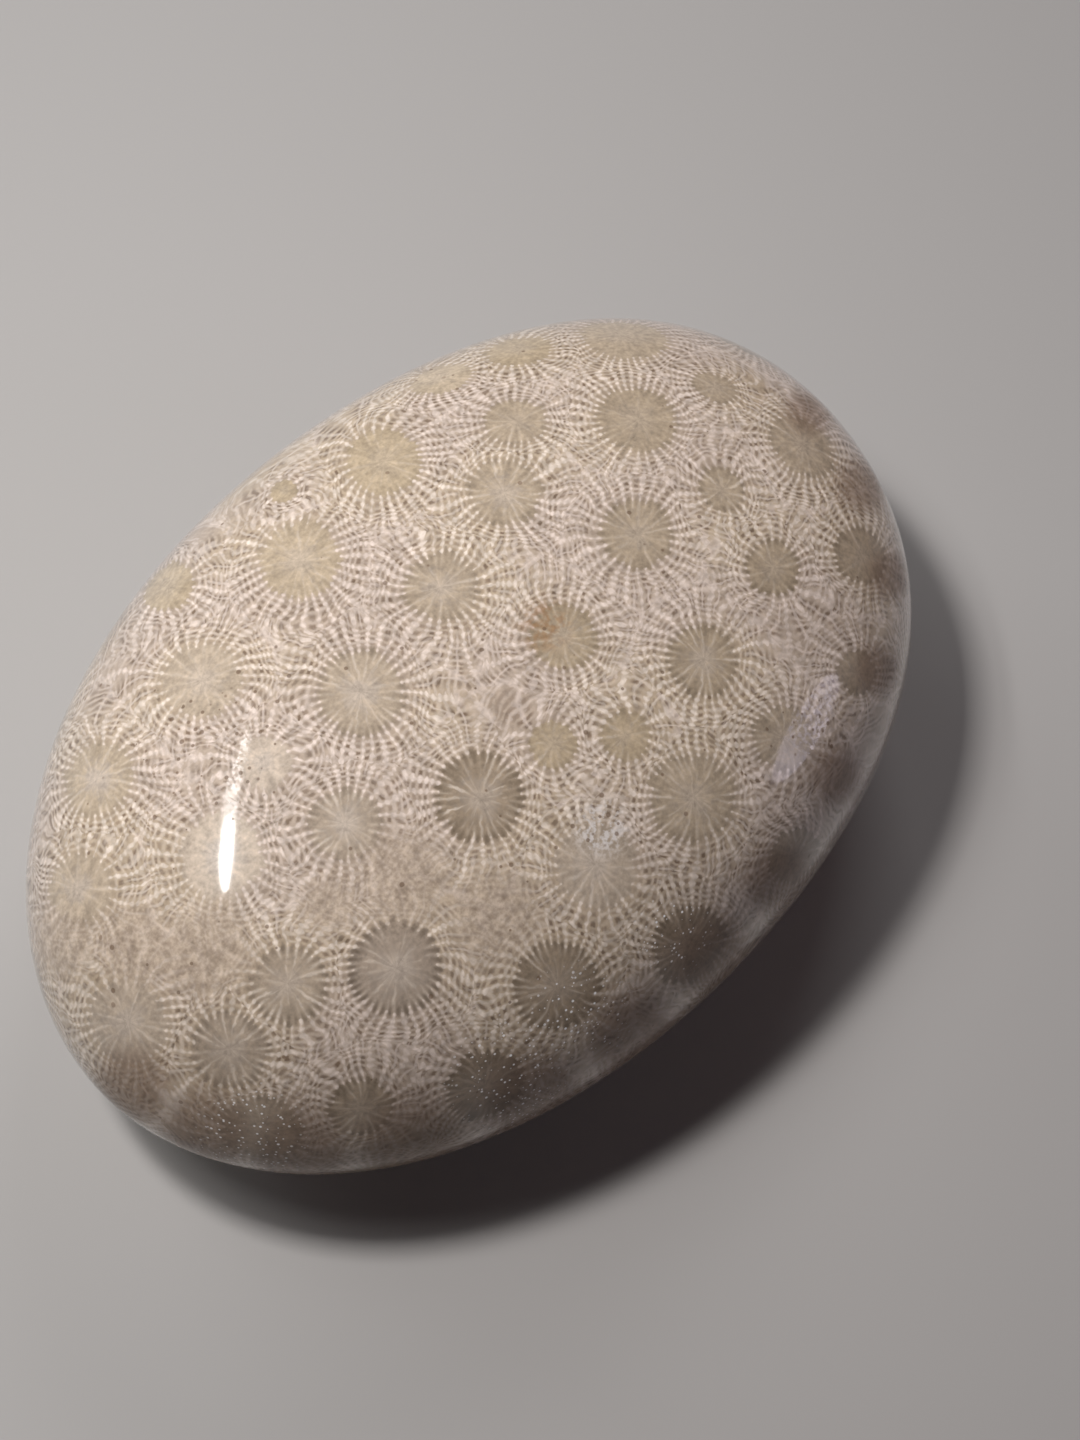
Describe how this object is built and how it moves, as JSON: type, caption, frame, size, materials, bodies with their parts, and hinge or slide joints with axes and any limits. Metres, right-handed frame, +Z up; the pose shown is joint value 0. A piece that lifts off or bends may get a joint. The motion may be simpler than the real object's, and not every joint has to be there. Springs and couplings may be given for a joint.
{
  "type": "polished fossil coral stone",
  "caption": "Egg-shaped pebble of fossil coral limestone, polished all over, its cut corallites showing as ribbed rosettes, lying on the flattened middle of its belly.",
  "frame": {"origin": "on the surface that the stone lies on, under the middle of its bounding box", "axes": "+X along the stone to its broader end, +Y across it, +Z up from the surface that it lies on to its domed crown"},
  "size_m": [0.072, 0.0486, 0.027],
  "materials": {
    "polished_coral": "polished to a wet gloss: warm beige and taupe limestone with cream ribs and olive-brown corallite centres, slightly translucent"
  },
  "bodies": {
    "root": {"fossil_coral_stone": "polished_coral"}
  },
  "joints": []
}
